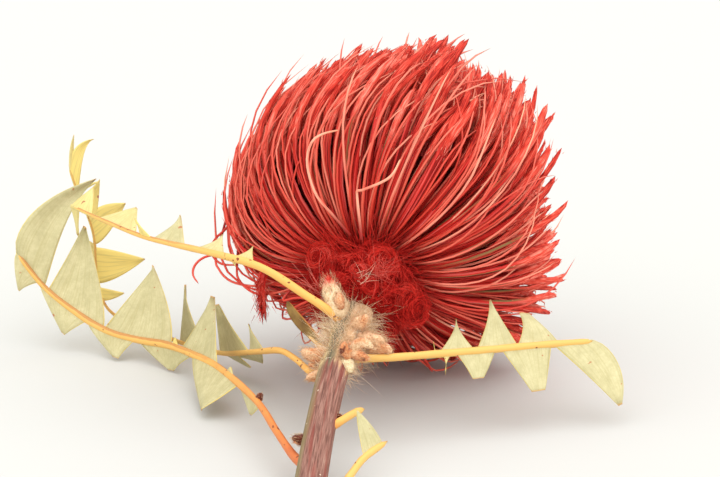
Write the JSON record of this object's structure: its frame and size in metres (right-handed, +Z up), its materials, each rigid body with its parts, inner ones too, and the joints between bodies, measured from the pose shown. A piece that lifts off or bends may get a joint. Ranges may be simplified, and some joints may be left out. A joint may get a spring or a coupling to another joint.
{
  "type": "dried banksia flower head on a cut stem",
  "caption": "Dried, dyed banksia flower head lying on its side, with a woolly collar, furry buds and stiff leaves cut to the midrib.",
  "frame": {"origin": "on the surface that the flower lies on, under the middle of the whole flower's box", "axes": "+Z up from the surface, +Y away from the cut end of the stem towards the head, +X to the right of the picture"},
  "size_m": [0.153, 0.1452, 0.0841],
  "materials": {
    "dyed_florets": "matt",
    "crimson_wool": "woolly",
    "tan_fur": "furry",
    "bark": "matt",
    "dried_leaf": "satin"
  },
  "bodies": {
    "root": {"flower_head": "dyed_florets", "woolly_collar": "crimson_wool", "stem": "bark", "bud_upper": "tan_fur", "bud_front": "tan_fur", "bud_right": "tan_fur", "bud_left": "tan_fur", "bud_left_low": "tan_fur", "bud_stem_left": "tan_fur", "bud_stem_right": "tan_fur", "leaf_left_low": "dried_leaf", "leaf_left_high": "dried_leaf", "leaf_left_back": "dried_leaf", "leaf_right": "dried_leaf", "leaf_right_low": "dried_leaf", "leaf_right_front": "dried_leaf", "leaf_under": "dried_leaf"}
  },
  "joints": []
}
